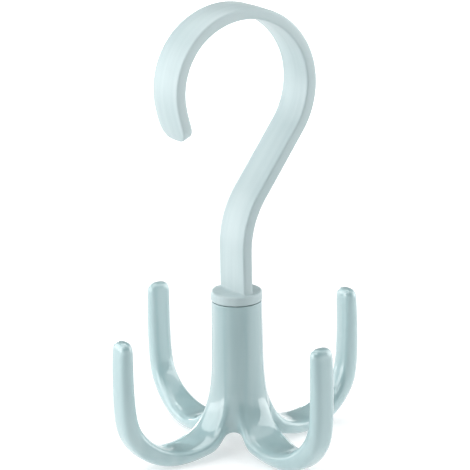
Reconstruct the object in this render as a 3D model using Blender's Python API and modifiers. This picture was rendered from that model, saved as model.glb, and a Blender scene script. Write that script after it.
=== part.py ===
# Rotating closet hook: a flat question-mark hook that hangs on a closet rod, and a stem
# with four upturned claws that turns below it.
# Metres, +Z up. The origin is on the swivel axis, level with the undersides of the claws.
# The hook lies in the XZ plane with its tip towards -X. At rest two claws lie in that plane.

import math

import bmesh
import bpy
from mathutils import Matrix, Vector

MM = 0.001

# Clearances
SEAT_GAP = 0.3 * MM  # between faces that rest on each other
RUNNING_CLEARANCE = 0.2 * MM  # round the spigot in the stem's web
THREAD_CLEARANCE = 0.15 * MM  # round the screw in its pilot hole
CUT_OVERRUN = 2.0 * MM  # how far cutters run past what they cut
JOIN_OVERLAP = 1.2 * MM  # how far the band runs into the collar
WELD_DISTANCE = 0.01 * MM

# Hook band: a flat strip bent on edge, thickest along its middle
BAND_WIDTH = 15.7 * MM
BAND_THICKNESS = 4.35 * MM  # at the two edges
BAND_CROWN = 0.25 * MM  # how far the middle stands out on each broad side
BAND_EDGE_ROUND = 0.45 * MM
BAND_FACET = 1.9 * MM  # longest step along the curves
SHANK_TOP_HEIGHT = 78.9 * MM  # where the upright shank starts to lean
LEAN_RADIUS = 34.7 * MM
LEAN_ANGLE = math.radians(37.8)
SLOPE_LENGTH = 29.2 * MM
LOOP_RIGHT_RADIUS = 28.7 * MM
LOOP_RIGHT_ANGLE = math.radians(70.0)
LOOP_TOP_RADIUS = 31.5 * MM
LOOP_TOP_ANGLE = math.radians(86.2)
LOOP_LEFT_RADIUS = 26.2 * MM
LOOP_LEFT_ANGLE = math.radians(72.3)
TIP_LENGTH = 13.4 * MM  # nearly straight end of the hook
TIP_RADIUS = 60.0 * MM
TIP_CORNER_RADIUS = 6.4 * MM  # rounds the tongue's two corners
TIP_CORNER_STEPS = 8

# Collar, spigot and pilot hole, turned about the swivel axis
COLLAR_RADIUS = 9.8 * MM
COLLAR_THICKNESS = 3.6 * MM
COLLAR_TOP_ROUND = 0.9 * MM
COLLAR_BOTTOM_ROUND = 0.3 * MM
SPIGOT_RADIUS = 4.5 * MM
SPIGOT_CHAMFER = 0.5 * MM
PILOT_DEPTH = 8.0 * MM
TURNED_STEPS = 48

# Stem
STEM_HEIGHT = 59.0 * MM
STEM_TOP_RADIUS = 9.65 * MM
STEM_FOOT_RADIUS = 10.1 * MM
STEM_RIM_CHAMFER = 0.35 * MM
STEM_FLARE_HEIGHT = 24.5 * MM  # where the stem starts to spread into the claws
STEM_FLARE = 2.2 * MM  # how far it spreads between two claws
STEM_COLUMNS = 20
STEM_BAND_SHARES = (0.18, 0.5, 0.82)  # rings up the plain part of the stem
WEB_THICKNESS = 6.5 * MM  # wall across the stem that carries the swivel
BORE_TOP_RADIUS = 7.2 * MM
BORE_FOOT_RADIUS = 7.7 * MM
BORE_CORNER_ROUND = 0.8 * MM
ARCH_HEIGHT = 11.3 * MM  # underside between two claws
RIM_INSET = 1.3 * MM  # width that holds the edge of the stem's underside

# Claws, all four alike
CLAW_COUNT = 4
CLAW_WIDTH = 9.3 * MM
CLAW_TIP_WIDTH = 9.1 * MM
CLAW_ROOT_WIDENING = 9.0 * MM  # how much wider a claw gets towards the stem
WIDENING_END_SHARES = (0.15, 0.84)  # shares of the bend between which a claw widens
CLAW_INNER_REACH = 49.7 * MM  # axis to the inner face of an upright
CLAW_BEND_THICKNESS = 6.6 * MM
CLAW_TIP_THICKNESS = 5.4 * MM
CLAW_TIP_HEIGHT = 53.2 * MM
INNER_BEND_SHARE = 0.5606  # radius of the inner bend, as a share of the way from stem to upright
OUTER_BEND_SHARE = 0.6742  # the same of the outer bend
CLAW_UNDERSIDE_SLOPE = math.radians(14.2)
CLAW_INNER_SWEEP = math.radians(43.0)  # how far the inner bend runs on past its lowest point
CLAW_BEND_STEPS = 8
CLAW_TIP_ROUND = 3.6 * MM

# One claw section as shares of half its width and half its thickness. The rows run from the
# outer or under side to the inner or upper side, which is flatter and has tighter edges.
SECTION_WIDTH_SHARES = (
    (-0.86, -0.46, 0.0, 0.46, 0.86),
    (-1.06, -0.5, 0.0, 0.5, 1.06),
    (-0.88, -0.5, 0.0, 0.5, 0.88),
)
SECTION_DEPTH_SHARES = (
    (-0.8, -1.0, -1.0, -1.0, -0.8),
    (0.0, 0.0, 0.0, 0.0, 0.0),
    (0.81, 1.0, 1.0, 1.0, 0.81),
)
SECTION_WIDENING_SHARES = (0.3, 0.75, 1.0)  # how much of the root's widening each row takes
COLUMN_WIDENING_SHARES = (-1.0, -0.5, 0.0, 0.5, 1.0)
# Where the root's sections stand: share of the inner curve from the stem to the bend's
# first section, and share of the straight underside from the stem to the bend.
ROOT_INNER_SHARES = (0.5,)
ROOT_UNDER_SHARES = (0.25, 0.52, 0.8)
# The first sections are nearly as wide below as above, where the claws run together
ROOT_WIDENING_SHARES = ((0.85, 0.8, 0.55), (0.79, 0.9, 1.0), (0.55, 0.8, 1.0))
UPRIGHT_SHARES = (0.4, 0.8)
# Each tip section: share of CLAW_TIP_ROUND below the tip, then share of width and thickness
TIP_SHARES = ((1.0, 1.0, 1.0), (0.45, 0.93, 0.9), (0.1, 0.72, 0.7))
TIP_CAP_SHARES = (0.0, 0.36, 0.36)

# Screw and washer that keep the spigot in the stem
SCREW_SHANK_RADIUS = 1.95 * MM
SCREW_LENGTH = 9.5 * MM
SCREW_POINT = 1.2 * MM
SCREW_HEAD_RADIUS = 3.9 * MM
SCREW_HEAD_HEIGHT = 2.7 * MM
SCREW_HEAD_ROUND = 1.1 * MM
CROSS_LENGTH = 4.4 * MM
CROSS_WIDTH = 0.9 * MM
CROSS_DEPTH = 1.6 * MM
WASHER_RADIUS = 6.3 * MM
WASHER_THICKNESS = 1.2 * MM
WASHER_EDGE_ROUND = 0.2 * MM

PLASTIC_COLOUR = (0.66, 0.79, 0.79, 1.0)
STEEL_COLOUR = (0.62, 0.62, 0.6, 1.0)

# Sizes that follow from the ones above
CLAW_OUTREACH = CLAW_INNER_REACH - STEM_FOOT_RADIUS
CLAW_INNER_BEND_RADIUS = CLAW_OUTREACH * INNER_BEND_SHARE
CLAW_OUTER_BEND_RADIUS = CLAW_OUTREACH * OUTER_BEND_SHARE
COLLAR_UNDERSIDE = STEM_HEIGHT + SEAT_GAP
COLLAR_TOP = COLLAR_UNDERSIDE + COLLAR_THICKNESS
WEB_UNDERSIDE = STEM_HEIGHT - WEB_THICKNESS
SPIGOT_END = WEB_UNDERSIDE
WASHER_TOP = SPIGOT_END - SEAT_GAP
SCREW_HEAD_TOP = WASHER_TOP - WASHER_THICKNESS - SEAT_GAP
PILOT_RADIUS = SCREW_SHANK_RADIUS + THREAD_CLEARANCE


def clear_scene():
    for old in list(bpy.data.objects):
        bpy.data.objects.remove(old, do_unlink=True)


def new_collection(name):
    collection = bpy.data.collections.new(name)
    bpy.context.scene.collection.children.link(collection)
    return collection


def plastic_material(name):
    material = bpy.data.materials.new(name)
    material.use_nodes = True
    shader = material.node_tree.nodes["Principled BSDF"]
    shader.inputs["Base Color"].default_value = PLASTIC_COLOUR
    shader.inputs["Roughness"].default_value = 0.12
    return material


def steel_material(name):
    material = bpy.data.materials.new(name)
    material.use_nodes = True
    shader = material.node_tree.nodes["Principled BSDF"]
    shader.inputs["Base Color"].default_value = STEEL_COLOUR
    shader.inputs["Metallic"].default_value = 1.0
    shader.inputs["Roughness"].default_value = 0.35
    return material


def link_mesh(name, mesh, collection, material=None):
    thing = bpy.data.objects.new(name, mesh)
    collection.objects.link(thing)
    if material:
        mesh.materials.append(material)
    return thing


def as_cutter(thing):
    thing.hide_render = True
    thing.display_type = "WIRE"
    return thing


def add_boolean(thing, other, operation):
    modifier = thing.modifiers.new(other.name, "BOOLEAN")
    modifier.operation = operation
    modifier.solver = "EXACT"
    modifier.object = other


def shade(mesh, degrees):
    mesh.shade_smooth()
    mesh.set_sharp_from_angle(angle=math.radians(degrees))


# Points along a round corner, from one heading to another about its centre
def corner(centre, radius, start, end, steps):
    points = []
    for step in range(steps + 1):
        angle = start + (end - start) * step / steps
        points.append(on_circle(centre, radius, angle))
    return points


# A solid turned about Z from a profile of (radius, height) that runs down its outer side
def turned(name, profile, collection, material=None, steps=TURNED_STEPS):
    mesh = bpy.data.meshes.new(name)
    vertices = [(radius, 0.0, height) for radius, height in profile]
    edges = [(index, index + 1) for index in range(len(profile) - 1)]
    mesh.from_pydata(vertices, edges, [])
    thing = link_mesh(name, mesh, collection, material)
    screw = thing.modifiers.new("turn", "SCREW")
    screw.axis = "Z"
    screw.angle = math.tau
    screw.steps = steps
    screw.render_steps = steps
    screw.use_merge_vertices = True
    screw.merge_threshold = WELD_DISTANCE
    screw.use_smooth_shade = True
    return thing


# Centre line of the band as (x, z, distance to the tip) from inside the collar to the tip
def band_path():
    position = Vector((0.0, COLLAR_TOP - JOIN_OVERLAP))
    heading = math.radians(90.0)
    points = [position.copy()]
    runs = (
        (SHANK_TOP_HEIGHT - position.y, 0.0),
        (LEAN_RADIUS, -LEAN_ANGLE),
        (SLOPE_LENGTH, 0.0),
        (LOOP_RIGHT_RADIUS, LOOP_RIGHT_ANGLE),
        (LOOP_TOP_RADIUS, LOOP_TOP_ANGLE),
        (LOOP_LEFT_RADIUS, LOOP_LEFT_ANGLE),
    )
    for size, turn in runs:
        if turn == 0.0:
            step = Vector((math.cos(heading), math.sin(heading))) * size
            position = position + step
            points.append(position.copy())
            continue
        position, heading = follow_arc(points, position, heading, size, turn, arc_steps(size, turn))
    # The tip has rings where its corners' rounding needs them
    straight = TIP_LENGTH - TIP_CORNER_RADIUS
    distances = [straight]
    for step in range(1, TIP_CORNER_STEPS + 1):
        angle = math.radians(90.0) * step / TIP_CORNER_STEPS
        distances.append(straight + TIP_CORNER_RADIUS * math.sin(angle))
    done = 0.0
    for distance in distances:
        turn = (distance - done) / TIP_RADIUS
        position, heading = follow_arc(points, position, heading, TIP_RADIUS, turn, 1)
        done = distance
    return points


def arc_steps(radius, turn):
    return max(2, math.ceil(radius * abs(turn) / BAND_FACET))


def follow_arc(points, position, heading, radius, turn, steps):
    side = math.copysign(1.0, turn)
    normal = Vector((-math.sin(heading), math.cos(heading))) * side
    centre = position + normal * radius
    spoke = position - centre
    for step in range(1, steps + 1):
        points.append(centre + Matrix.Rotation(turn * step / steps, 2) @ spoke)
    return points[-1].copy(), heading + turn


# The flattened hexagon that the band is swept from: draft on both sides of a middle line
def band_section(collection):
    half_edge = BAND_THICKNESS / 2
    half_middle = half_edge + BAND_CROWN
    half_width = BAND_WIDTH / 2
    outline = (
        (half_edge, -half_width),
        (half_middle, 0.0),
        (half_edge, half_width),
        (-half_edge, half_width),
        (-half_middle, 0.0),
        (-half_edge, -half_width),
    )
    curve = bpy.data.curves.new("band_section", "CURVE")
    curve.dimensions = "2D"
    curve.fill_mode = "NONE"
    spline = curve.splines.new("POLY")
    spline.points.add(len(outline) - 1)
    for point, (across, along) in zip(spline.points, outline):
        point.co = (across, along, 0.0, 1.0)
    spline.use_cyclic_u = True
    section = bpy.data.objects.new("band_section", curve)
    collection.objects.link(section)
    return as_cutter(section)


def build_band(parts, helpers, material):
    path = band_path()
    curve = bpy.data.curves.new("band_path", "CURVE")
    curve.dimensions = "2D"
    curve.fill_mode = "NONE"
    spline = curve.splines.new("POLY")
    spline.points.add(len(path) - 1)
    for point, place in zip(spline.points, path):
        point.co = (place.x, place.y, 0.0, 1.0)
    curve.bevel_mode = "OBJECT"
    curve.bevel_object = band_section(helpers)
    curve.use_fill_caps = True
    guide = bpy.data.objects.new("band_guide", curve)
    guide.rotation_euler = (math.radians(90.0), 0.0, 0.0)
    helpers.objects.link(guide)
    bpy.context.view_layer.update()
    mesh = bpy.data.meshes.new_from_object(guide.evaluated_get(bpy.context.evaluated_depsgraph_get()))
    mesh.name = "rod_hook"
    mesh.transform(guide.matrix_world)
    bpy.data.objects.remove(guide, do_unlink=True)
    round_tongue(mesh, path)
    band = link_mesh("rod_hook", mesh, parts, material)
    rounding = band.modifiers.new("edge_round", "BEVEL")
    rounding.width = BAND_EDGE_ROUND
    rounding.segments = 2
    rounding.limit_method = "ANGLE"
    rounding.angle_limit = math.radians(40.0)
    return band


# Narrows the last rings of the band so that the tip ends in a rounded tongue
def round_tongue(mesh, path):
    bm = bmesh.new()
    bm.from_mesh(mesh)
    bmesh.ops.remove_doubles(bm, verts=bm.verts, dist=WELD_DISTANCE)
    half_width = BAND_WIDTH / 2
    ends = path[-(TIP_CORNER_STEPS + 1):]
    for step, place in enumerate(ends):
        angle = math.radians(90.0) * step / TIP_CORNER_STEPS
        kept = half_width - TIP_CORNER_RADIUS + TIP_CORNER_RADIUS * math.cos(angle)
        reach = BAND_THICKNESS / 2 + BAND_CROWN
        for vertex in bm.verts:
            flat = Vector((vertex.co.x, vertex.co.z))
            if (flat - place).length < reach and on_ring(flat, path, len(path) - len(ends) + step):
                vertex.co.y *= kept / half_width
    bmesh.ops.recalc_face_normals(bm, faces=bm.faces)
    bm.to_mesh(mesh)
    bm.free()


def on_ring(flat, path, index):
    before = path[index - 1]
    after = path[min(index + 1, len(path) - 1)]
    along = (after - before).normalized()
    step = math.radians(90.0) / TIP_CORNER_STEPS
    return abs((flat - path[index]).dot(along)) < TIP_CORNER_RADIUS * (1 - math.cos(step)) / 2


def build_rod_hook(parts, helpers, material):
    band = build_band(parts, helpers, material)
    quarter = math.radians(90.0)
    inner_top = COLLAR_RADIUS - COLLAR_TOP_ROUND
    profile = [(0.0, COLLAR_TOP)]
    profile += corner((inner_top, COLLAR_TOP - COLLAR_TOP_ROUND), COLLAR_TOP_ROUND, quarter, 0.0, 4)
    low_centre = (COLLAR_RADIUS - COLLAR_BOTTOM_ROUND, COLLAR_UNDERSIDE + COLLAR_BOTTOM_ROUND)
    profile += corner(low_centre, COLLAR_BOTTOM_ROUND, 0.0, -quarter, 2)
    profile += [
        (SPIGOT_RADIUS, COLLAR_UNDERSIDE),
        (SPIGOT_RADIUS, SPIGOT_END + SPIGOT_CHAMFER),
        (SPIGOT_RADIUS - SPIGOT_CHAMFER, SPIGOT_END),
        (PILOT_RADIUS, SPIGOT_END),
        (PILOT_RADIUS, SPIGOT_END + PILOT_DEPTH),
        (0.0, SPIGOT_END + PILOT_DEPTH + PILOT_RADIUS / 2),
    ]
    collar = as_cutter(turned("collar_and_spigot", profile, helpers))
    add_boolean(band, collar, "UNION")
    shade(band.data, 35.0)
    return band


# Underside of the stem and of the claws' roots at an angle round the axis, at a share of
# the way from the axis to the stem's foot
def underside_height(angle, share=1.0):
    under_claw = root_underside((STEM_FOOT_RADIUS + STEM_FLARE) * share)
    middle = (ARCH_HEIGHT + under_claw) / 2
    swing = (ARCH_HEIGHT - under_claw) / 2
    return middle - swing * math.cos(CLAW_COUNT * angle)


# Radius and height where the straight underside of a claw meets its bend
def bend_start():
    centre = outer_bend_centre()
    return (
        centre[0] - CLAW_OUTER_BEND_RADIUS * math.sin(CLAW_UNDERSIDE_SLOPE),
        centre[1] - CLAW_OUTER_BEND_RADIUS * math.cos(CLAW_UNDERSIDE_SLOPE),
    )


def root_underside(radius):
    start = bend_start()
    return start[1] + (start[0] - radius) * math.tan(CLAW_UNDERSIDE_SLOPE)


def outer_bend_centre():
    return (CLAW_INNER_REACH + CLAW_BEND_THICKNESS - CLAW_OUTER_BEND_RADIUS, CLAW_OUTER_BEND_RADIUS)


def inner_bend_centre():
    return (CLAW_INNER_REACH - CLAW_INNER_BEND_RADIUS, CLAW_BEND_THICKNESS + CLAW_INNER_BEND_RADIUS)


# Sections of a claw after its root: inner point, outer point, width, what the root adds to
# the width, how much of that each row takes, and share of the thickness.
# The smoothing draws a bend in, so its cage is wider by the chords' sagitta.
def claw_stations():
    inner_centre = inner_bend_centre()
    outer_centre = outer_bend_centre()
    down = -math.radians(90.0)
    first = down - CLAW_INNER_SWEEP
    swell = 1 / math.cos((0.0 - first) / CLAW_BEND_STEPS / 2)
    angles = [first + (0.0 - first) * step / CLAW_BEND_STEPS for step in range(CLAW_BEND_STEPS)]
    inner_bend = [on_circle(inner_centre, CLAW_INNER_BEND_RADIUS * swell, angle) for angle in angles]
    stations = []
    for index, share in enumerate(ROOT_INNER_SHARES):
        radius = STEM_FOOT_RADIUS + (inner_bend[0][0] - STEM_FOOT_RADIUS) * share * share
        height = STEM_FLARE_HEIGHT + (inner_bend[0][1] - STEM_FLARE_HEIGHT) * share
        outer = root_under_point(index)
        rows = row_widening(index)
        stations.append(((radius, height), outer, CLAW_WIDTH, CLAW_ROOT_WIDENING, rows, 1.0))
    for index, inner in enumerate(inner_bend):
        place = len(ROOT_INNER_SHARES) + index
        if place < len(ROOT_UNDER_SHARES):
            outer = root_under_point(place)
        else:
            angle = max(angles[index], down - CLAW_UNDERSIDE_SLOPE)
            outer = on_circle(outer_centre, CLAW_OUTER_BEND_RADIUS * swell, angle)
        widening = CLAW_ROOT_WIDENING * widening_share(index / CLAW_BEND_STEPS)
        stations.append((inner, outer, CLAW_WIDTH, widening, row_widening(place), 1.0))
    upright_foot = inner_centre[1]
    for share in UPRIGHT_SHARES:
        height = upright_foot + (CLAW_TIP_HEIGHT - CLAW_TIP_ROUND - upright_foot) * share
        stations.append(upright_station(height, 1.0, 1.0))
    for drop, width, thickness in TIP_SHARES + (TIP_CAP_SHARES,):
        height = CLAW_TIP_HEIGHT - CLAW_TIP_ROUND * drop
        stations.append(upright_station(height, width, thickness))
    return stations


def row_widening(place):
    return ROOT_WIDENING_SHARES[place] if place < len(ROOT_WIDENING_SHARES) else SECTION_WIDENING_SHARES


# Eases from all of the widening at the root to none of it along the bend
def widening_share(share):
    start, end = WIDENING_END_SHARES
    left = min(1.0, max(0.0, (end - share) / (end - start)))
    return left * left * (3 - 2 * left)


def on_circle(centre, radius, angle):
    return (centre[0] + radius * math.cos(angle), centre[1] + radius * math.sin(angle))


def root_under_point(index):
    start = STEM_FOOT_RADIUS + STEM_FLARE
    radius = start + (bend_start()[0] - start) * ROOT_UNDER_SHARES[index]
    return (radius, root_underside(radius))


def upright_station(height, width_share, thickness_share):
    foot = inner_bend_centre()[1]
    share = (height - foot) / (CLAW_TIP_HEIGHT - foot)
    depth = CLAW_BEND_THICKNESS + (CLAW_TIP_THICKNESS - CLAW_BEND_THICKNESS) * share
    width = CLAW_WIDTH + (CLAW_TIP_WIDTH - CLAW_WIDTH) * share
    inner = (CLAW_INNER_REACH, height)
    outer = (CLAW_INNER_REACH + depth, height)
    return (inner, outer, width * width_share, 0.0, SECTION_WIDENING_SHARES, thickness_share)


# Place of one grid point of a claw's section, for a claw along +X
def section_point(station, column, row):
    inner, outer, width, widening, rows, thickness = station
    middle = Vector((inner[0] + outer[0], inner[1] + outer[1])) / 2
    half = Vector((inner[0] - outer[0], inner[1] - outer[1])) / 2
    across = SECTION_WIDTH_SHARES[row][column] * width / 2
    across += COLUMN_WIDENING_SHARES[column] * rows[row] * widening / 2
    place = middle + half * SECTION_DEPTH_SHARES[row][column] * thickness
    return Vector((place.x, across, place.y))


# The stem as a closed cage of rings. Its lower rings have the claws' roots in them.
def stem_cage(bm):
    widening = 1 / math.cos(math.pi / STEM_COLUMNS)
    top = STEM_HEIGHT + CUT_OVERRUN + CUT_OVERRUN
    base = 0.0
    bmesh.ops.create_cone(
        bm,
        cap_ends=True,
        cap_tris=False,
        segments=STEM_COLUMNS,
        radius1=STEM_FOOT_RADIUS,
        radius2=STEM_FOOT_RADIUS,
        depth=top - base,
        matrix=Matrix.Translation((0.0, 0.0, (top + base) / 2)),
    )
    rows = len(SECTION_WIDTH_SHARES)
    root_levels = [STEM_FLARE_HEIGHT * row / (rows - 1) for row in range(1, rows)]
    plain = STEM_HEIGHT - STEM_FLARE_HEIGHT
    stem_levels = [STEM_FLARE_HEIGHT + plain * share for share in STEM_BAND_SHARES]
    for level in root_levels + stem_levels:
        bmesh.ops.bisect_plane(
            bm,
            geom=bm.verts[:] + bm.edges[:] + bm.faces[:],
            dist=WELD_DISTANCE,
            plane_co=(0.0, 0.0, level),
            plane_no=(0.0, 0.0, 1.0),
        )
    bottom = min(bm.faces, key=lambda face: face.calc_center_median().z)
    for inset in (RIM_INSET, RIM_INSET):
        bmesh.ops.inset_region(bm, faces=[bottom], thickness=inset, use_even_offset=True)
        bottom = min(bm.faces, key=lambda face: (round(face.calc_center_median().z, 6), -face.calc_area()))
    for vertex in bm.verts:
        angle = math.atan2(vertex.co.y, vertex.co.x)
        height = vertex.co.z
        if height < STEM_FLARE_HEIGHT + WELD_DISTANCE:
            low = underside_height(angle, min(1.0, vertex.co.xy.length / STEM_FOOT_RADIUS))
            share = 1 - height / STEM_FLARE_HEIGHT
            height = STEM_FLARE_HEIGHT + (low - STEM_FLARE_HEIGHT) * share
            radius = STEM_FOOT_RADIUS + STEM_FLARE * share
        else:
            share = min(1.0, (height - STEM_FLARE_HEIGHT) / plain)
            radius = STEM_FOOT_RADIUS + (STEM_TOP_RADIUS - STEM_FOOT_RADIUS) * share
        spread = radius * widening / STEM_FOOT_RADIUS
        vertex.co = Vector((vertex.co.x * spread, vertex.co.y * spread, height))


# Marks the grid place of each vertex of a claw's root and returns the root's faces
def claw_root(bm, angle, columns, rows):
    faces = []
    turn = Matrix.Rotation(-angle, 3, "Z")
    per_column = math.tau / STEM_COLUMNS
    half_columns = (len(SECTION_WIDTH_SHARES[0]) - 1) / 2
    reach = per_column * half_columns
    for face in bm.faces:
        centre = turn @ face.calc_center_median()
        bearing = math.atan2(centre.y, centre.x)
        outside = abs(bearing) > reach or centre.z > STEM_FLARE_HEIGHT
        if outside or abs(face.normal.z) > math.cos(math.radians(45.0)):
            continue
        faces.append(face)
        for vertex in face.verts:
            place = turn @ vertex.co
            low = underside_height(math.atan2(place.y, place.x))
            row_height = (STEM_FLARE_HEIGHT - low) / (len(SECTION_WIDTH_SHARES) - 1)
            vertex[columns] = round(math.atan2(place.y, place.x) / per_column + half_columns)
            vertex[rows] = round((place.z - low) / row_height)
    return faces


def grow_claw(bm, angle, columns, rows):
    turn = Matrix.Rotation(angle, 3, "Z")
    faces = claw_root(bm, angle, columns, rows)
    for station in claw_stations():
        grown = bmesh.ops.extrude_face_region(bm, geom=faces)["geom"]
        bmesh.ops.delete(bm, geom=[face for face in faces if face.is_valid], context="FACES")
        faces = [item for item in grown if isinstance(item, bmesh.types.BMFace)]
        for vertex in {vertex for face in faces for vertex in face.verts}:
            vertex.co = turn @ section_point(station, vertex[columns], vertex[rows])


def build_claw_body(parts, helpers, material):
    bm = bmesh.new()
    stem_cage(bm)
    columns = bm.verts.layers.int.new("column")
    rows = bm.verts.layers.int.new("row")
    bm.faces.ensure_lookup_table()
    for index in range(CLAW_COUNT):
        grow_claw(bm, math.tau * index / CLAW_COUNT, columns, rows)
    bmesh.ops.recalc_face_normals(bm, faces=bm.faces)
    mesh = bpy.data.meshes.new("claw_body")
    bm.to_mesh(mesh)
    bm.free()
    body = link_mesh("claw_body", mesh, parts, material)
    smoothing = body.modifiers.new("smooth_cage", "SUBSURF")
    smoothing.levels = 1
    smoothing.render_levels = 1
    add_boolean(body, rim_cutter(helpers), "DIFFERENCE")
    add_boolean(body, bore_cutter(helpers), "DIFFERENCE")
    shade(mesh, 35.0)
    return body


# Cuts the stem's top level and takes the sharpness off its rim
def rim_cutter(helpers):
    outside = STEM_TOP_RADIUS + CUT_OVERRUN
    top = STEM_HEIGHT + CUT_OVERRUN * 4
    profile = [
        (0.0, top),
        (outside, top),
        (outside, STEM_HEIGHT - STEM_RIM_CHAMFER - CUT_OVERRUN),
        (STEM_TOP_RADIUS - STEM_RIM_CHAMFER, STEM_HEIGHT),
        (0.0, STEM_HEIGHT),
    ]
    return as_cutter(turned("rim_cutter", profile, helpers))


# The hole for the spigot and, below the web, the drafted bore that is open underneath
def bore_cutter(helpers):
    hole = SPIGOT_RADIUS + RUNNING_CLEARANCE
    fillet_centre = (BORE_TOP_RADIUS - BORE_CORNER_ROUND, WEB_UNDERSIDE - BORE_CORNER_ROUND)
    profile = [(0.0, STEM_HEIGHT + CUT_OVERRUN), (hole, STEM_HEIGHT + CUT_OVERRUN), (hole, WEB_UNDERSIDE)]
    profile += corner(fillet_centre, BORE_CORNER_ROUND, math.radians(90.0), 0.0, 3)
    profile += [(BORE_FOOT_RADIUS, -CUT_OVERRUN), (0.0, -CUT_OVERRUN)]
    return as_cutter(turned("bore_cutter", profile, helpers))


def build_pivot_washer(parts, material):
    quarter = math.radians(90.0)
    inner = PILOT_RADIUS
    bottom = WASHER_TOP - WASHER_THICKNESS
    edge = WASHER_RADIUS - WASHER_EDGE_ROUND
    profile = [(inner, WASHER_TOP)]
    profile += corner((edge, WASHER_TOP - WASHER_EDGE_ROUND), WASHER_EDGE_ROUND, quarter, 0.0, 2)
    profile += corner((edge, bottom + WASHER_EDGE_ROUND), WASHER_EDGE_ROUND, 0.0, -quarter, 2)
    profile += [(inner, bottom), (inner, WASHER_TOP)]
    washer = turned("pivot_washer", profile, parts, material)
    return washer


def build_pivot_screw(parts, helpers, material):
    tip = SCREW_HEAD_TOP + SCREW_LENGTH
    bottom = SCREW_HEAD_TOP - SCREW_HEAD_HEIGHT
    quarter = math.radians(90.0)
    head_edge = SCREW_HEAD_RADIUS - SCREW_HEAD_ROUND
    profile = [
        (0.0, tip),
        (SCREW_SHANK_RADIUS - SCREW_POINT, tip),
        (SCREW_SHANK_RADIUS, tip - SCREW_POINT),
        (SCREW_SHANK_RADIUS, SCREW_HEAD_TOP),
        (SCREW_HEAD_RADIUS, SCREW_HEAD_TOP),
    ]
    profile += corner((head_edge, bottom + SCREW_HEAD_ROUND), SCREW_HEAD_ROUND, 0.0, -quarter, 3)
    profile += [(0.0, bottom)]
    screw = turned("pivot_screw", profile, parts, material, steps=32)
    for index in range(2):
        size = (CROSS_LENGTH, CROSS_WIDTH) if index == 0 else (CROSS_WIDTH, CROSS_LENGTH)
        bm = bmesh.new()
        bmesh.ops.create_cube(bm, size=1.0)
        depth = CROSS_DEPTH + CUT_OVERRUN
        bmesh.ops.scale(bm, vec=(size[0], size[1], depth), verts=bm.verts)
        bmesh.ops.translate(bm, vec=(0.0, 0.0, bottom + CROSS_DEPTH - depth / 2), verts=bm.verts)
        mesh = bpy.data.meshes.new("cross_slot")
        bm.to_mesh(mesh)
        bm.free()
        slot = as_cutter(link_mesh(f"cross_slot_{index + 1}", mesh, helpers))
        add_boolean(screw, slot, "DIFFERENCE")
    return screw


def main():
    clear_scene()
    parts = new_collection("rotating_closet_hook")
    helpers = new_collection("cutters")
    hook = build_rod_hook(parts, helpers, plastic_material("hook_plastic"))
    body = build_claw_body(parts, helpers, plastic_material("claw_plastic"))
    screw = build_pivot_screw(parts, helpers, steel_material("screw_steel"))
    washer = build_pivot_washer(parts, steel_material("washer_steel"))
    # The claws turn about Z through the origin, below the hook that the screw and washer stay with
    swivel = bpy.data.objects.new("swivel_axis", None)
    parts.objects.link(swivel)
    body.parent = swivel
    screw.parent = hook
    washer.parent = hook


main()
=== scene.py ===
import math

import bmesh
import bpy
from mathutils import Matrix, Vector


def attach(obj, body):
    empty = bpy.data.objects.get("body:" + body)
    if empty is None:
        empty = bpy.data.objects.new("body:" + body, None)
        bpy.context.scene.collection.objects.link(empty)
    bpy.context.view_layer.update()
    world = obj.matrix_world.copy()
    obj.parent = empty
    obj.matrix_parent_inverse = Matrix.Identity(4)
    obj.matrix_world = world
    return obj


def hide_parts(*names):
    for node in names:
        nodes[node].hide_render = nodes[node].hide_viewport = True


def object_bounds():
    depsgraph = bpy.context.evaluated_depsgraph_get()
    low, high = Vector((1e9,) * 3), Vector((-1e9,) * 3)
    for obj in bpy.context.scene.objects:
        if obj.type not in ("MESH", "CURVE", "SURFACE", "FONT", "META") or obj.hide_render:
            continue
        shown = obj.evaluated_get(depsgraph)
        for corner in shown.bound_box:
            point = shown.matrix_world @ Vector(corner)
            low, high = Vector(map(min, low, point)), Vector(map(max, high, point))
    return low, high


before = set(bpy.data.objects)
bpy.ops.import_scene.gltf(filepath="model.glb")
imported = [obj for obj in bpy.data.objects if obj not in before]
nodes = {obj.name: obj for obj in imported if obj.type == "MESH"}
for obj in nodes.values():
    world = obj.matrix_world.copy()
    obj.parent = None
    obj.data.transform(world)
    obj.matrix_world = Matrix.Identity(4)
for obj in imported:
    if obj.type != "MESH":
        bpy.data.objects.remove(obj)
cadLow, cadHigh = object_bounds()
touching = 1e-5  # metres, what lies closer counts as the same place
print("frame loaded, high", round(cadHigh.z, 4))


def setInputs(node, values):
    for name, value in values.items():
        node.inputs[name].default_value = value


def addNode(tree, kind, place, inputs=None, **values):
    node = tree.nodes.new(kind)
    node.location = place
    for name, value in values.items():
        setattr(node, name, value)
    setInputs(node, inputs or {})
    return node


def rangeEnds(fromLow, fromHigh, toLow=0.0, toHigh=1.0):
    return {"From Min": fromLow, "From Max": fromHigh, "To Min": toLow, "To Max": toHigh}


def newMaterial(name):
    material = bpy.data.materials.new(name)
    material.use_nodes = True
    return material, material.node_tree, material.node_tree.nodes["Principled BSDF"]


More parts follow.
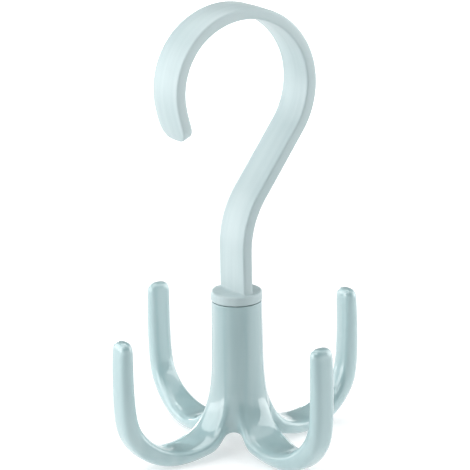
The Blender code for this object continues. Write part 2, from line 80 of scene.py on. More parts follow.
# Moulded plastic: satin on the hook, polished on the claws, where a clear skin carries the sharp
# reflections. The flow marks run the way that the plastic ran in the mould, as faint streaks of
# tone and a ripple in the shine. Painted shade darkens the stem and the claws' roots beside it,
# standing in for the light that the thin wall loses into the hollow bore.
hookLook = {
    "pale": (0.458, 0.551, 0.562),
    "deep": (0.411, 0.509, 0.522),
    "flow": (16, 260, 16),  # marks per metre along X, Y and Z
    "flowEnds": (0.36, 0.64),  # noise that gives the pale and the deep tone
    "ripple": 0.000012,
    "grainScale": 1400.0,
    "grainHeight": 0.0000015,
    "roughLow": 0.3,
    "roughHigh": 0.42,
    "hazeScale": 55.0,
    "hazeEnds": (0.35, 0.7),
    "skin": 0.0,  # share of clear skin
    "skinRoughness": 0.035,
    "skinIndex": 1.5,
    "stemShade": (0.0105, 0.0165, 1.0),  # painted shade round the axis: radius of its darkest part, radius where it ends, tone
    "glow": 0.1,  # share of the light that goes under the surface
    "glowDepth": 0.0015,
    "glowColour": (0.8, 1.0, 1.0),
    "index": 1.5,
}
# On the claws the stem is painted darker, as painted shade, down to 0.87 of its colour near the axis.
clawLook = dict(hookLook, pale=(0.39, 0.538, 0.554), deep=(0.342, 0.495, 0.513), flow=(150, 150, 16),
                skin=1.0, skinIndex=1.7, stemShade=(0.0105, 0.0165, 0.87))


def makePlastic(name, look):
    material, tree, shader = newMaterial(name)
    setInputs(shader, {
        "IOR": look["index"],
        "Subsurface Weight": look["glow"],
        "Subsurface Radius": look["glowColour"],
        "Subsurface Scale": look["glowDepth"],
        "Coat Weight": look["skin"],
        "Coat Roughness": look["skinRoughness"],
        "Coat IOR": look["skinIndex"],
    })
    coords = addNode(tree, "ShaderNodeTexCoord", (-1500, 0))
    along = addNode(tree, "ShaderNodeMapping", (-1250, 300), {"Scale": look["flow"]})
    flow = addNode(tree, "ShaderNodeTexNoise", (-1000, 300), {"Scale": 1.0, "Detail": 3.0})
    streak = addNode(tree, "ShaderNodeMapRange", (-750, 300), rangeEnds(*look["flowEnds"]))
    tones = {"A": (*look["pale"], 1.0), "B": (*look["deep"], 1.0)}
    tint = addNode(tree, "ShaderNodeMix", (-450, 300), tones, data_type="RGBA")
    # Painted shade: the colour is scaled down towards the swivel axis, by the distance from it across the
    # plan.
    flat = addNode(tree, "ShaderNodeVectorMath", (-1250, 550), operation="MULTIPLY")
    flat.inputs[1].default_value = (1.0, 1.0, 0.0)
    reach = addNode(tree, "ShaderNodeVectorMath", (-1000, 550), operation="LENGTH")
    inner, outer, shadeTone = look["stemShade"]
    paintedShade = addNode(tree, "ShaderNodeMapRange", (-750, 550), rangeEnds(inner, outer, shadeTone, 1.0),
                   interpolation_type="SMOOTHSTEP")
    tone = addNode(tree, "ShaderNodeVectorMath", (-220, 350), operation="SCALE")
    haze = addNode(tree, "ShaderNodeTexNoise", (-1000, 50),
                   {"Scale": look["hazeScale"], "Detail": 5.0, "Roughness": 0.65})
    polish = addNode(tree, "ShaderNodeMapRange", (-450, 20),
                     rangeEnds(*look["hazeEnds"], look["roughLow"], look["roughHigh"]))
    grain = addNode(tree, "ShaderNodeTexNoise", (-1000, -470), {"Scale": look["grainScale"], "Detail": 2.0})
    wave = addNode(tree, "ShaderNodeBump", (-450, -220), {"Strength": 1.0, "Distance": look["ripple"]})
    bump = addNode(tree, "ShaderNodeBump", (-220, -300), {"Strength": 1.0, "Distance": look["grainHeight"]})
    links = tree.links
    links.new(coords.outputs["Object"], along.inputs["Vector"])
    links.new(along.outputs["Vector"], flow.inputs["Vector"])
    links.new(coords.outputs["Object"], haze.inputs["Vector"])
    links.new(coords.outputs["Object"], grain.inputs["Vector"])
    links.new(flow.outputs["Fac"], streak.inputs["Value"])
    links.new(streak.outputs["Result"], tint.inputs["Factor"])
    links.new(coords.outputs["Object"], flat.inputs[0])
    links.new(flat.outputs["Vector"], reach.inputs[0])
    links.new(reach.outputs["Value"], paintedShade.inputs["Value"])
    links.new(tint.outputs["Result"], tone.inputs[0])
    links.new(paintedShade.outputs["Result"], tone.inputs["Scale"])
    links.new(tone.outputs["Vector"], shader.inputs["Base Color"])
    links.new(haze.outputs["Fac"], polish.inputs["Value"])
    links.new(polish.outputs["Result"], shader.inputs["Roughness"])
    links.new(flow.outputs["Fac"], wave.inputs["Height"])
    links.new(grain.outputs["Fac"], bump.inputs["Height"])
    links.new(wave.outputs["Normal"], bump.inputs["Normal"])
    links.new(bump.outputs["Normal"], shader.inputs["Normal"])
    links.new(wave.outputs["Normal"], shader.inputs["Coat Normal"])
    return material


steelLook = {
    "bright": (0.66, 0.66, 0.64),
    "dull": (0.42, 0.42, 0.41),
    "stainScale": 260.0,
    "ringScale": 900.0,  # turning marks round the swivel axis
    "ringSway": 0.4,
    "ringHeight": 0.000006,
    "ringStrength": 0.6,
    "roughLow": 0.24,
    "roughHigh": 0.48,
}


def makeSteel(name, look):
    material, tree, shader = newMaterial(name)
    setInputs(shader, {"Metallic": 1.0})
    coords = addNode(tree, "ShaderNodeTexCoord", (-1100, 0))
    stain = addNode(tree, "ShaderNodeTexNoise", (-850, 200), {"Scale": look["stainScale"], "Detail": 4.0})
    tones = {"A": (*look["bright"], 1.0), "B": (*look["dull"], 1.0)}
    tint = addNode(tree, "ShaderNodeMix", (-450, 250), tones, data_type="RGBA")
    polish = addNode(tree, "ShaderNodeMapRange", (-450, 0),
                     rangeEnds(0.0, 1.0, look["roughLow"], look["roughHigh"]))
    rings = addNode(tree, "ShaderNodeTexWave", (-850, -200),
                    {"Scale": look["ringScale"], "Distortion": look["ringSway"]},
                    wave_type="RINGS", rings_direction="Z")
    bump = addNode(tree, "ShaderNodeBump", (-450, -250),
                   {"Strength": look["ringStrength"], "Distance": look["ringHeight"]})
    links = tree.links
    links.new(coords.outputs["Object"], stain.inputs["Vector"])
    links.new(coords.outputs["Object"], rings.inputs["Vector"])
    links.new(stain.outputs["Fac"], tint.inputs["Factor"])
    links.new(tint.outputs["Result"], shader.inputs["Base Color"])
    links.new(stain.outputs["Fac"], polish.inputs["Value"])
    links.new(polish.outputs["Result"], shader.inputs["Roughness"])
    links.new(rings.outputs["Fac"], bump.inputs["Height"])
    links.new(bump.outputs["Normal"], shader.inputs["Normal"])
    return material


def dress(piece, material):
    piece.data.materials.clear()
    piece.data.materials.append(material)


hookPlastic = makePlastic("hookPlastic", hookLook)
clawPlastic = makePlastic("clawPlastic", clawLook)
screwSteel = makeSteel("screwSteel", steelLook)
washerSteel = makeSteel("washerSteel", dict(steelLook, bright=(0.6, 0.6, 0.57), ringScale=600.0))
dress(nodes["pivot_screw"], screwSteel)
dress(nodes["pivot_washer"], washerSteel)
print("materials made")


def clearPick():
    bpy.ops.object.select_all(action="DESELECT")
    bpy.context.view_layer.objects.active = None


def editMesh():
    return bmesh.from_edit_mesh(bpy.context.edit_object.data)


def pick(kind, test):  # in edit mode, selects what passes the test and nothing else
    bpy.ops.mesh.select_mode(type=kind)
    bpy.ops.mesh.select_all(action="DESELECT")
    bm = editMesh()
    for item in {"VERT": bm.verts, "EDGE": bm.edges, "FACE": bm.faces}[kind]:
        if not item.hide and test(item):
            item.select_set(True)
    bm.select_flush_mode()
    bmesh.update_edit_mesh(bpy.context.edit_object.data)


def onRing(vert, radius, height):
    return abs(vert.co.z - height) < touching and abs(vert.co.xy.length - radius) < touching * 5


def isCap(face):  # the round end of a piece, with one corner per side
    return len(face.verts) > 4


def useModifier(piece, kind, **values):
    modifier = piece.modifiers.new(kind.lower(), kind)
    for name, value in values.items():
        setattr(modifier, name, value)
    clearPick()
    piece.select_set(True)
    bpy.context.view_layer.objects.active = piece
    bpy.ops.object.modifier_apply(modifier=modifier.name)


def smoothShade(piece, degrees):
    clearPick()
    piece.select_set(True)
    bpy.context.view_layer.objects.active = piece
    bpy.ops.object.shade_smooth_by_angle(angle=math.radians(degrees))


def closeUp():  # welds what touches and turns the faces outwards
    bpy.ops.mesh.select_mode(type="VERT")
    bpy.ops.mesh.select_all(action="SELECT")
    bpy.ops.mesh.remove_doubles(threshold=touching)
    bpy.ops.mesh.normals_make_consistent(inside=False)


band = {
    "width": 0.0157,
    "thickness": 0.00435,  # at the two edges
    "crown": 0.00025,  # the ridge along the middle of each broad side
    "collarTop": 0.0629,
    "footFillet": 0.0009,  # where the shank runs out into the collar
    "filletDegrees": (10, 25, 40, 55, 70, 90),
    "footSink": 0.07,  # the fillet's first section, below the collar's top, in fillet radii
    "footSpread": 1.3,  # how far the buried foot stands out, in fillet radii
    "shankTop": 0.0789,
    "lean": (0.0347, 37.8),  # radius, degrees
    "slope": 0.0292,
    "loop": ((0.0287, 70.0), (0.0315, 86.2), (0.0262, 72.3)),  # the same for its three bends
    "stepDegrees": 1.8,
    "tipRun": 0.0070,
    "tipRadius": 0.060,
    "tipSteps": 4,
    "tongue": 0.0064,
    "tongueDegrees": (14, 28, 40, 50, 57, 64, 70, 76, 81, 86, 90),
    "endRound": 0.0012,
    "edgeRound": 0.0008,
    "edgeSegments": 4,
    "edgeAngle": 0.7,  # radians, sharper edges are rounded
    "ridgeAngle": 0.02,  # radians, of the ridge at least
    "smoothDegrees": 28,
}


def turnBand(path, radius, degrees, steps):
    side = math.copysign(1, degrees)
    across = Vector((-math.sin(path["heading"]), 0, math.cos(path["heading"]))) * side
    centre = path["place"] + across * radius
    angle = math.radians(degrees)
    bpy.ops.mesh.spin(steps=steps, angle=angle, center=centre, axis=(0, 1, 0))
    path["place"] = centre + Matrix.Rotation(-angle, 3, "Y") @ (path["place"] - centre)
    path["heading"] += angle


def runBand(path, length):
    step = Vector((math.cos(path["heading"]), 0, math.sin(path["heading"]))) * length
    bpy.ops.mesh.extrude_region_move(TRANSFORM_OT_translate={"value": step})
    path["place"] = path["place"] + step


def makeBand(look):
    clearPick()
    fillet = look["footFillet"]
    foot = (0, 0, look["collarTop"] - fillet)
    spread = fillet * look["footSpread"]
    wide, thick = look["width"] / 2 + spread, look["thickness"] / 2 + spread
    bpy.ops.mesh.primitive_plane_add(size=2, location=foot)
    piece = bpy.context.object
    piece.name = "hookBand"
    bpy.ops.object.transform_apply(location=True, rotation=True, scale=True)
    bpy.ops.object.mode_set(mode="EDIT")
    bpy.ops.mesh.select_all(action="SELECT")
    bpy.ops.transform.resize(value=(thick, wide, 1), center_override=foot)
    bpy.ops.mesh.bisect(plane_co=foot, plane_no=(0, 1, 0))
    for side in (-1, 1):
        pick("VERT", lambda v: abs(v.co.y) < touching and v.co.x * side > 0)
        bpy.ops.transform.translate(value=(look["crown"] * side, 0, 0))
    bpy.ops.mesh.select_mode(type="FACE")
    bpy.ops.mesh.select_all(action="SELECT")
    path = {"place": Vector(foot), "heading": math.radians(90)}
    runBand(path, fillet * (1 - look["footSink"]))
    for degrees in look["filletDegrees"]:
        rise = fillet * (1 - math.cos(math.radians(degrees)))
        out = fillet * (1 - math.sin(math.radians(degrees)))
        runBand(path, look["collarTop"] + rise - path["place"].z)
        thinner, narrower = (look["thickness"] / 2 + out) / thick, (look["width"] / 2 + out) / wide
        bpy.ops.transform.resize(value=(thinner, narrower, 1), center_override=path["place"])
        wide, thick = look["width"] / 2 + out, look["thickness"] / 2 + out
    runBand(path, look["shankTop"] - path["place"].z)
    turnBand(path, look["lean"][0], -look["lean"][1], round(look["lean"][1] / look["stepDegrees"]))
    runBand(path, look["slope"])
    for radius, degrees in look["loop"]:
        turnBand(path, radius, degrees, round(degrees / look["stepDegrees"]))
    turnBand(path, look["tipRadius"], math.degrees(look["tipRun"] / look["tipRadius"]), look["tipSteps"])
    done = 0.0
    for degrees in look["tongueDegrees"]:  # narrows to a rounded tongue with a soft end
        along = look["tongue"] * math.sin(math.radians(degrees))
        turnBand(path, look["tipRadius"], math.degrees((along - done) / look["tipRadius"]), 1)
        done = along
        newWide = look["width"] / 2 - look["tongue"] * (1 - math.cos(math.radians(degrees)))
        into = max(0.0, (along - look["tongue"] + look["endRound"]) / look["endRound"])
        newThick = look["thickness"] / 2 - look["endRound"] * (1 - math.sqrt(max(0.0, 1 - into * into)))
        thinner = newThick / thick
        bpy.ops.transform.resize(value=(thinner, newWide / wide, thinner), center_override=path["place"])
        wide, thick = newWide, newThick
    closeUp()
    bare = look["collarTop"] + touching
    pick("EDGE", lambda e: e.calc_face_angle(0) > look["edgeAngle"] and max(v.co.z for v in e.verts) > bare)
    bpy.ops.mesh.bevel(offset=look["edgeRound"], segments=look["edgeSegments"], affect="EDGES",
                       clamp_overlap=False)
    bpy.ops.object.mode_set(mode="OBJECT")
    return piece


collar = {
    "radius": 0.0098,
    "underside": 0.0593,
    "top": 0.0629,
    "topRound": 0.0009,
    "topSegments": 6,
    "footRound": 0.0004,
    "footSegments": 3,
    "lip": 0.0002,  # keeps the light out of the running gap
    "lipRadius": 0.0088,
    "spigotRadius": 0.0045,
    "spigotEnd": 0.0525,
    "spigotChamfer": 0.0005,
    "chamferSegments": 2,
    "pilotRadius": 0.0021,
    "pilotDepth": 0.008,
    "sides": 128,
}


def makeCollar(look):
    clearPick()
    height = look["top"] - look["underside"]
    bpy.ops.mesh.primitive_cylinder_add(vertices=look["sides"], radius=look["radius"], depth=height,
                                        location=(0, 0, look["underside"] + height / 2))
    piece = bpy.context.object
    piece.name = "collar"
    bpy.ops.object.transform_apply(location=True, rotation=True, scale=True)
    bpy.ops.object.mode_set(mode="EDIT")
    rims = ((look["top"], look["topRound"], look["topSegments"]),
            (look["underside"], look["footRound"], look["footSegments"]))
    for level, rounding, segments in rims:
        pick("EDGE", lambda e: all(onRing(v, look["radius"], level) for v in e.verts))
        bpy.ops.mesh.bevel(offset=rounding, segments=segments, affect="EDGES")
    pick("FACE", lambda f: isCap(f) and f.calc_center_median().z < look["underside"] + touching)
    bpy.ops.mesh.inset(thickness=look["radius"] - look["footRound"] - look["lipRadius"])
    bpy.ops.mesh.extrude_region_move(TRANSFORM_OT_translate={"value": (0, 0, -look["lip"])})
    bpy.ops.mesh.inset(thickness=look["lipRadius"] - look["spigotRadius"])
    drop = look["underside"] - look["lip"] - look["spigotEnd"]
    bpy.ops.mesh.extrude_region_move(TRANSFORM_OT_translate={"value": (0, 0, -drop)})
    bpy.ops.mesh.inset(thickness=look["spigotRadius"] - look["pilotRadius"])
    bpy.ops.mesh.extrude_region_move(TRANSFORM_OT_translate={"value": (0, 0, look["pilotDepth"])})
    pick("EDGE", lambda e: all(onRing(v, look["spigotRadius"], look["spigotEnd"]) for v in e.verts))
    bpy.ops.mesh.bevel(offset=look["spigotChamfer"], segments=look["chamferSegments"], affect="EDGES")
    closeUp()
    bpy.ops.object.mode_set(mode="OBJECT")
    return piece


def makeHook():
    hook = makeBand(band)
    foot = makeCollar(collar)
    useModifier(hook, "BOOLEAN", operation="UNION", solver="EXACT", object=foot)
    bpy.data.objects.remove(foot, do_unlink=True)
    bpy.ops.object.mode_set(mode="EDIT")
    def onRidge(e):
        return all(abs(v.co.y) < touching for v in e.verts) and e.calc_face_angle(0) > band["ridgeAngle"]
    pick("EDGE", onRidge)
    bpy.ops.mesh.mark_sharp()  # the ridge along each broad side is crisp
    bpy.ops.object.mode_set(mode="OBJECT")
    smoothShade(hook, band["smoothDegrees"])
    dress(hook, hookPlastic)
    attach(hook, "hook")
    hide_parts("rod_hook")
    print("hook made,", len(hook.data.polygons), "faces")


stem = {
    "columns": 20,
    "height": 0.059,
    "topRadius": 0.00965,
    "footRadius": 0.0101,
    "flareHeight": 0.0245,  # where the stem starts to spread into the claws
    "flare": 0.0022,
    "bands": (0.18, 0.5, 0.82),
    "arch": 0.0138,  # underside between two claws, before the cage is smoothed
    "underArch": 0.0116,  # the same further in
    "archDraw": 0.6,  # share by which the two columns at an arch's top are drawn together
    "archFrom": 0.009,  # from this radius outwards
    "archTo": 0.0205,  # up to this height
    "rimRound": 0.00035,
    "edgeHold": 0.0003,
    "hole": 0.0047,
    "web": 0.0065,
    "boreTop": 0.0072,
    "boreCorner": 0.0008,
    "boreFoot": 0.0077,
    "underRings": (0.0107, 0.0091, 0.0081),
    "rootFrom": 0.001,  # height that a claw's root starts above
    "wallShare": 0.97,  # of the foot's radius, what lies further in isn't the outer wall
    "wallTilt": 0.5,  # upward share of a face's normal, a wall face has less
    "smoothLevels": 3,
    "smoothDegrees": 60,
}

claw = {
    "width": 0.0093,
    "tipWidth": 0.0091,
    "rootWidening": 0.009,
    "wideningEnds": (0.15, 0.84),
    "reach": 0.0497,  # axis to the inner face of an upright
    "bendThickness": 0.0066,
    "tipThickness": 0.0054,
    "tipHeight": 0.0532,
    "innerBend": 0.0222,
    "outerBend": 0.0267,
    "slope": 14.2,  # degrees that the underside falls away from the stem
    "sweep": 43.0,
    "bendSteps": 8,
    "tipRound": 0.0036,
    "cornerWidth": (0.86, 1.06, 0.88),  # under, middle and upper row of a section
    "innerWidth": (0.46, 0.5, 0.5),
    "cornerDepth": (0.8, 0.0, 0.81),
    "rowSpread": 0.9,  # height of the corner rows, as a share of the half thickness
    "rowCatch": 0.3,  # how near to its height a row is looked for
    "rowWidening": (0.3, 0.75, 1.0),
    "rootRows": ((0.85, 0.8, 0.55), (0.79, 0.9, 1.0), (0.55, 0.8, 1.0)),
    "rootUnder": (0.25, 0.52, 0.8),
    "uprights": (0.4, 0.8),
    "tips": ((1.0, 1.0, 1.0), (0.45, 0.93, 0.9), (0.1, 0.72, 0.7), (0.0, 0.36, 0.36)),
    "easePasses": 5,  # smooths the cage where the claws leave the stem
    "easeFactor": 0.5,
    "easeFrom": 1.01,  # from this radius outwards, in foot radii
    "easeReach": 0.026,  # out to this radius
    "easeHeights": (0.0105, 0.027),
}


def onCircle(centre, radius, angle):
    return centre + Vector((math.cos(angle), math.sin(angle))) * radius


def underClaw(radius):  # height of the straight underside between stem and bend
    slope = math.radians(claw["slope"])
    startRadius = claw["reach"] + claw["bendThickness"] - claw["outerBend"] * (1 + math.sin(slope))
    startHeight = claw["outerBend"] * (1 - math.cos(slope))
    return startHeight + (startRadius - radius) * math.tan(slope), startRadius


def clawSections():  # inner point, outer point, width, widening, share per row, share of thickness
    look = claw
    foot = stem["footRadius"]
    innerCentre = Vector((look["reach"] - look["innerBend"], look["bendThickness"] + look["innerBend"]))
    outerCentre = Vector((look["reach"] + look["bendThickness"] - look["outerBend"], look["outerBend"]))
    down = -math.radians(90)
    first = down - math.radians(look["sweep"])
    steps = look["bendSteps"]
    swell = 1 / math.cos(first / steps / 2)
    angles = [first * (1 - step / steps) for step in range(steps)]
    bend = [onCircle(innerCentre, look["innerBend"] * swell, angle) for angle in angles]
    underStart = foot + stem["flare"]
    underPoints = []
    for share in look["rootUnder"]:
        radius = underStart + (underClaw(0)[1] - underStart) * share
        underPoints.append(Vector((radius, underClaw(radius)[0])))
    start = Vector((foot + (bend[0].x - foot) / 4, (stem["flareHeight"] + bend[0].y) / 2))
    sections = [(start, underPoints[0], look["width"], look["rootWidening"], look["rootRows"][0], 1.0)]
    for index, inner in enumerate(bend):
        place = index + 1
        lowest = max(angles[index], down - math.radians(look["slope"]))
        outer = onCircle(outerCentre, look["outerBend"] * swell, lowest)
        if place < len(underPoints):
            outer = underPoints[place]
        ends = look["wideningEnds"]
        left = min(1.0, max(0.0, (ends[1] - index / steps) / (ends[1] - ends[0])))
        widening = look["rootWidening"] * left * left * (3 - 2 * left)
        rows = look["rootRows"][place] if place < len(look["rootRows"]) else look["rowWidening"]
        sections.append((inner, outer, look["width"], widening, rows, 1.0))
    shoulder = look["tipHeight"] - look["tipRound"]
    uprights = [(innerCentre.y + (shoulder - innerCentre.y) * share, 1.0, 1.0) for share in look["uprights"]]
    for drop, wide, thick in look["tips"]:
        uprights.append((look["tipHeight"] - look["tipRound"] * drop, wide, thick))
    for height, wide, thick in uprights:
        share = (height - innerCentre.y) / (look["tipHeight"] - innerCentre.y)
        depth = look["bendThickness"] + (look["tipThickness"] - look["bendThickness"]) * share
        width = look["width"] + (look["tipWidth"] - look["width"]) * share
        inner = Vector((look["reach"], height))
        sections.append((inner, inner + Vector((depth, 0)), width * wide, 0.0, look["rowWidening"], thick))
    return sections


def growCap(rings, ring):  # extrudes the picked cap from ring to ring of radius and height
    for radius, height in rings:
        bpy.ops.mesh.extrude_region_move(TRANSFORM_OT_translate={"value": (0, 0, height - ring[1])})
        ratio = radius / ring[0]
        bpy.ops.transform.resize(value=(ratio, ratio, 1), center_override=(0, 0, height))
        ring = (radius, height)


def makeStem(look):
    clearPick()
    sides = look["columns"]
    swell = 1 / math.cos(math.pi / sides)  # the smoothing draws the rings in
    boreSwell = 3 / (2 + math.cos(math.tau / sides))
    shoulder = look["height"] - look["rimRound"]
    bpy.ops.mesh.primitive_cylinder_add(vertices=sides, radius=look["footRadius"] * swell, depth=shoulder,
                                        location=(0, 0, shoulder / 2))
    piece = bpy.context.object
    piece.name = "clawBody"
    bpy.ops.object.transform_apply(location=True, rotation=True, scale=True)
    bpy.ops.object.mode_set(mode="EDIT")
    plain = look["height"] - look["flareHeight"]
    levels = [look["flareHeight"] / 2, look["flareHeight"]]
    levels += [look["flareHeight"] + plain * share for share in look["bands"]]
    for level in levels:
        bpy.ops.mesh.select_all(action="SELECT")
        bpy.ops.mesh.bisect(plane_co=(0, 0, level), plane_no=(0, 0, 1))
    for level in [0.0] + levels + [shoulder]:
        spread = look["footRadius"] + look["flare"] * (1 - level / look["flareHeight"])
        taper = max(0.0, (level - look["flareHeight"]) / plain)
        radius = look["footRadius"] + (look["topRadius"] - look["footRadius"]) * taper
        radius = spread if level < look["flareHeight"] else radius
        ratio = radius / look["footRadius"]
        pick("VERT", lambda v: abs(v.co.z - level) < touching)
        bpy.ops.transform.resize(value=(ratio, ratio, 1), center_override=(0, 0, level))
    rim = look["topRadius"] * swell
    top, hold, hole = look["height"], look["edgeHold"], look["hole"] * boreSwell
    web, boreTop, boreFoot = top - look["web"], look["boreTop"] * boreSwell, look["boreFoot"] * boreSwell
    pick("FACE", lambda f: isCap(f) and f.calc_center_median().z > look["flareHeight"])
    growCap([(rim, top), (rim - look["rimRound"], top), (hole + hold, top), (hole, top), (hole, top - hold),
             (hole, web + hold), (hole, web), (hole + hold, web), (boreTop - look["boreCorner"], web),
             (boreTop, web), (boreTop, web - look["boreCorner"]),
             ((boreTop + boreFoot) / 2, look["flareHeight"] + hold)], (rim, shoulder))
    foot = (look["footRadius"] + look["flare"]) * swell
    pick("FACE", lambda f: isCap(f) and f.calc_center_median().z < touching)
    rings = [(radius * swell, 0.0) for radius in look["underRings"]] + [(boreFoot, 0.0), (boreFoot, hold * 2)]
    growCap(rings, (foot, 0.0))
    pick("FACE", lambda f: isCap(f))
    bpy.ops.mesh.bridge_edge_loops()
    return piece


def isRoot(face, bearing):  # the part of the stem's foot that a claw grows from, four columns wide
    middle = face.calc_center_median()
    turn = abs((math.degrees(math.atan2(middle.y, middle.x)) - bearing + 180) % 360 - 180)
    near = turn < 2 * 360 / stem["columns"] and stem["rootFrom"] < middle.z < stem["flareHeight"]
    onWall = middle.xy.length > stem["footRadius"] * stem["wallShare"]
    return near and onWall and abs(face.normal.z) < stem["wallTilt"]


def bendTo(degrees, centre):
    bpy.ops.transform.rotate(value=math.radians(degrees), orient_axis="Y", center_override=centre)


def growClaw():
    sections = clawSections()
    halfWidths, middles, leans, depths = [], [], [], []
    for inner, outer, width, widening, rows, thickness in sections:
        halfWidths.append([(claw["cornerWidth"][row] * width + rows[row] * widening) / 2 for row in range(3)])
        middles.append(Vector(((inner.x + outer.x) / 2, 0, (inner.y + outer.y) / 2)))
        leans.append(math.degrees(math.atan2(inner.x - outer.x, inner.y - outer.y)))
        depths.append((inner - outer).length / 2 * thickness)
    bpy.ops.mesh.extrude_region_move()
    bm = editMesh()
    bm.verts.index_update()
    corners = sorted((v for v in bm.verts if v.select), key=lambda v: v.co.z)
    section = {v.index for v in corners}
    inner, outer, width, widening, rows, thickness = sections[0]
    half = (inner - outer) / 2
    perRow = len(corners) // 3
    centre = perRow // 2
    moves = []
    for row in range(3):
        line = sorted(corners[row * perRow:(row + 1) * perRow], key=lambda v: v.co.y)
        for column, vert in enumerate(line):
            inWidth = (claw["innerWidth"][row] * width + rows[row] * widening / 2) / 2
            across = (0, inWidth, halfWidths[0][row])[abs(column - centre)]
            depth = claw["cornerDepth"][row] if column in (0, perRow - 1) else abs(row - 1)
            place = middles[0] + Vector((half.x, 0, half.y)) * depth * (row - 1)
            place.y = across if column > centre else -across
            moves.append((vert.index, place - vert.co))
    for index, move in moves:
        pick("VERT", lambda v: v.index == index)
        bpy.ops.transform.translate(value=move)
    for step in range(1, len(sections)):
        pick("FACE", lambda f: all(v.index in section for v in f.verts))
        bpy.ops.mesh.extrude_region_move(TRANSFORM_OT_translate={"value": middles[step] - middles[step - 1]})
        bendTo(leans[step - 1], middles[step])  # upright, to size it
        bpy.ops.transform.resize(value=(1, 1, depths[step] / depths[step - 1]), center_override=middles[step])
        bm = editMesh()
        bm.verts.index_update()
        section = {v.index for v in bm.verts if v.select}
        for row in range(3):
            ratio = halfWidths[step][row] / halfWidths[step - 1][row]
            level = middles[step].z + depths[step] * (row - 1) * claw["rowSpread"]
            catch = depths[step] * claw["rowCatch"]
            pick("VERT", lambda v: v.index in section and abs(v.co.z - level) < catch)
            bpy.ops.transform.resize(value=(1, ratio, 1), center_override=middles[step])
        pick("FACE", lambda f: all(v.index in section for v in f.verts))
        bendTo(-leans[step], middles[step])


def undersideHeight(bearing, share):
    low = underClaw((stem["footRadius"] + stem["flare"]) * share)[0]
    high = stem["arch"] if share == 1.0 else stem["underArch"]
    return (high + low) / 2 - (high - low) / 2 * math.cos(4 * bearing)


def makeClaws():
    piece = makeStem(stem)
    pick("FACE", lambda f: any(isRoot(f, bearing) for bearing in (90, 180, 270)))
    bpy.ops.mesh.delete(type="FACE")
    pick("FACE", lambda f: isRoot(f, 0))
    bpy.ops.mesh.hide(unselected=True)
    growClaw()
    bpy.ops.mesh.select_all(action="SELECT")
    for turn in range(3):
        bpy.ops.mesh.duplicate()
        bpy.ops.transform.rotate(value=math.radians(90), orient_axis="Z", center_override=(0, 0, 0))
    bpy.ops.mesh.reveal()
    closeUp()
    swell = 1 / math.cos(math.pi / stem["columns"])
    foot = stem["footRadius"] + stem["flare"]
    half = stem["flareHeight"] / 2
    boreFoot = stem["boreFoot"] * 3 / (2 + math.cos(math.tau / stem["columns"])) / swell
    rings = [(foot, 0.0, 1.0), (foot - stem["flare"] / 2, half, 1.0)]
    rings += [(radius, 0.0, radius / foot) for radius in stem["underRings"]]
    rings += [(boreFoot, 0.0, boreFoot / foot), (boreFoot, stem["edgeHold"] * 2, boreFoot / foot)]
    column = 360 / stem["columns"]
    for radius, level, share in rings:  # lifts the foot into an arch between each two claws
        for bearing in (0, column, 2 * column):
            def ofArch(v):
                off = math.degrees(math.atan2(v.co.y, v.co.x)) % 90
                return abs(min(off, 90 - off) - bearing) < 1
            pick("VERT", lambda v: onRing(v, radius * swell, level) and ofArch(v))
            lift = undersideHeight(math.radians(bearing), share) * (1 - level / stem["flareHeight"])
            bpy.ops.transform.translate(value=(0, 0, lift))
    for side in (2 * column, 3 * column):  # draws the top of each arch together
        def besideArch(v):
            bearing = math.degrees(math.atan2(v.co.y, v.co.x)) % 90
            return v.co.xy.length > stem["archFrom"] and v.co.z < stem["archTo"] and abs(bearing - side) < 1
        pick("VERT", besideArch)
        turn = math.radians((side - 45) * stem["archDraw"])
        bpy.ops.transform.rotate(value=turn, orient_axis="Z", center_override=(0, 0, 0))
    low, high = claw["easeHeights"]
    start = stem["footRadius"] * claw["easeFrom"]
    pick("VERT", lambda v: start < v.co.xy.length < claw["easeReach"] and low < v.co.z < high)
    bpy.ops.mesh.vertices_smooth(factor=claw["easeFactor"], repeat=claw["easePasses"])
    bpy.ops.object.mode_set(mode="OBJECT")
    useModifier(piece, "SUBSURF", levels=stem["smoothLevels"], render_levels=stem["smoothLevels"])
    smoothShade(piece, stem["smoothDegrees"])
    dress(piece, clawPlastic)
    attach(piece, "claws")
    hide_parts("claw_body")
    print("stem and claws made,", len(piece.data.polygons), "faces")


makeHook()
makeClaws()


stageLook = {
    "side": 8.0,
    "colour": (0.6, 0.605, 0.61, 1.0),
    "roughness": 0.9,
    "nearGlow": 0.5,  # painted light: the floor glows from the object's feet backwards, as if the sweep were lit from behind
    "nearFrom": -0.22,
    "nearTo": -0.04,
    "farGlow": 0.97,  # and all round further out
    "farFrom": 0.22,
    "farTo": 0.55,
    "bearing": 54.3,  # degrees, away from the camera
    "horizon": 0.97,
    "ceiling": 0.04,
    "fade": (0.08, 0.2),  # sine of the elevation
    "air": (0.97, 0.99, 1.0, 1.0),
    "aim": 0.09,  # height that the lights look at
}

softboxes = {  # azimuth and elevation in degrees, distance, width and height in metres, watts
    "leftBox": (143, 13, 0.8, 0.85, 0.66, 4.0),
    "leftLow": (165, 12, 0.8, 0.5, 0.5, 0.7),
    "leftHigh": (186, 50, 0.8, 1.0, 0.36, 2.9),
    "backLow": (78, 7, 1.5, 0.8, 0.45, 6.5),
    "backHigh": (80, 55, 0.8, 0.6, 0.36, 1.3),
    "backRight": (28, 7, 1.5, 0.8, 0.45, 1.4),
    "rightBox": (335, 13, 0.8, 0.75, 0.62, 4.1),
    "rightHigh": (320, 50, 0.8, 0.6, 0.5, 0.85),
    "top": (0, 89, 0.8, 0.7, 0.7, 2.7),
}


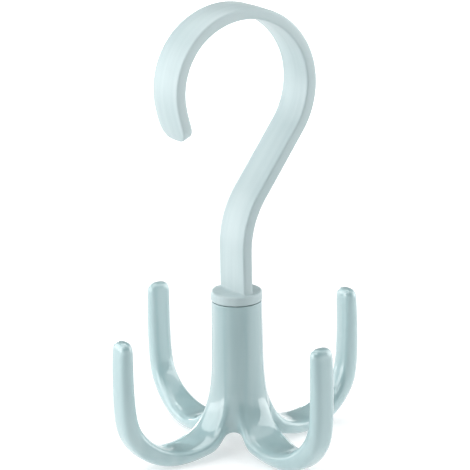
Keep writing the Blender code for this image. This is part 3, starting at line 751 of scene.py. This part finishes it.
def makeStage(look):
    clearPick()
    bpy.ops.mesh.primitive_plane_add(size=look["side"], location=(0, 0, cadLow.z))
    floor = bpy.context.object
    floor.name = "studioFloor"
    material, tree, shader = newMaterial("paleFloor")
    setInputs(shader, {
        "Base Color": look["colour"],
        "Roughness": look["roughness"],
        "Emission Color": (1, 1, 1, 1),
    })
    # The floor's glow is painted light: it is strong behind the object and all round further out, and there
    # is none on the floor in front.
    coords = addNode(tree, "ShaderNodeTexCoord", (-900, -200))
    away = addNode(tree, "ShaderNodeVectorMath", (-700, -200), operation="LENGTH")
    far = addNode(tree, "ShaderNodeMapRange", (-450, -200),
                  rangeEnds(look["farFrom"], look["farTo"], 0.0, look["farGlow"]),
                  interpolation_type="SMOOTHSTEP")
    bearing = math.radians(look["bearing"])
    behind = addNode(tree, "ShaderNodeVectorMath", (-700, -450), operation="DOT_PRODUCT")
    behind.inputs[1].default_value = (math.cos(bearing), math.sin(bearing), 0)
    near = addNode(tree, "ShaderNodeMapRange", (-450, -450),
                   rangeEnds(look["nearFrom"], look["nearTo"], 0.0, look["nearGlow"]),
                   interpolation_type="SMOOTHSTEP")
    glow = addNode(tree, "ShaderNodeMath", (-220, -300), operation="MAXIMUM")
    tree.links.new(coords.outputs["Object"], away.inputs[0])
    tree.links.new(away.outputs["Value"], far.inputs["Value"])
    tree.links.new(coords.outputs["Object"], behind.inputs[0])
    tree.links.new(behind.outputs["Value"], near.inputs["Value"])
    tree.links.new(far.outputs["Result"], glow.inputs[0])
    tree.links.new(near.outputs["Result"], glow.inputs[1])
    tree.links.new(glow.outputs["Value"], shader.inputs["Emission Strength"])
    floor.data.materials.append(material)


def addSoftbox(name, azimuth, elevation, distance, width, height, power):
    around, up = math.radians(azimuth), math.radians(elevation)
    away = Vector((math.cos(around) * math.cos(up), math.sin(around) * math.cos(up), math.sin(up)))
    light = bpy.data.lights.new(name, "AREA")
    light.shape = "RECTANGLE"
    light.size = width
    light.size_y = height
    light.energy = power
    lamp = bpy.data.objects.new(name, light)
    bpy.context.scene.collection.objects.link(lamp)
    lamp.location = Vector((0, 0, stageLook["aim"])) + away * distance
    lamp.rotation_euler = away.to_track_quat("Z", "Y").to_euler()
    lamp.visible_camera = False


def setWorld(look):  # a pale horizon all round that darkens upwards
    world = bpy.data.worlds.new("studioAir")
    bpy.context.scene.world = world
    world.use_nodes = True
    tree = world.node_tree
    background = tree.nodes["Background"]
    background.inputs["Color"].default_value = look["air"]
    coords = addNode(tree, "ShaderNodeTexCoord", (-900, 0))
    height = addNode(tree, "ShaderNodeSeparateXYZ", (-700, 0))
    fade = addNode(tree, "ShaderNodeMapRange", (-450, 0),
                   rangeEnds(*look["fade"], look["horizon"], look["ceiling"]),
                   interpolation_type="SMOOTHSTEP")
    tree.links.new(coords.outputs["Generated"], height.inputs[0])
    tree.links.new(height.outputs["Z"], fade.inputs["Value"])
    tree.links.new(fade.outputs["Result"], background.inputs["Strength"])


photoView = {
    "azimuth": -35.69,  # degrees, as the next two
    "elevation": 16.64,
    "roll": -1.08,
    "place": (-0.7035, -0.9791, 0.4449),
    "lens": 256.1,  # millimetres, as the sensor
    "sensor": 36.0,
    "clip": (0.1, 20.0),
}


def setCamera(look):
    azimuth, elevation, roll = (math.radians(look[name]) for name in ("azimuth", "elevation", "roll"))
    flat = math.cos(elevation)
    back = Vector((math.sin(azimuth) * flat, -math.cos(azimuth) * flat, math.sin(elevation)))
    right = Vector((math.cos(azimuth), math.sin(azimuth), 0))
    up = back.cross(right)
    tiltedRight = right * math.cos(roll) + up * math.sin(roll)
    tiltedUp = up * math.cos(roll) - right * math.sin(roll)
    camera = bpy.data.objects.new("photoCamera", bpy.data.cameras.new("photoCamera"))
    bpy.context.scene.collection.objects.link(camera)
    turn = Matrix((tiltedRight, tiltedUp, back)).transposed().to_4x4()
    camera.matrix_world = Matrix.Translation(look["place"]) @ turn
    camera.data.sensor_width = look["sensor"]
    camera.data.lens = look["lens"]
    camera.data.clip_start, camera.data.clip_end = look["clip"]
    bpy.context.scene.camera = camera


makeStage(stageLook)
for name, settings in softboxes.items():
    addSoftbox(name, *settings)
setWorld(stageLook)
setCamera(photoView)
bpy.context.scene.view_settings.view_transform = "Standard"
print("stage, lights and camera ready")
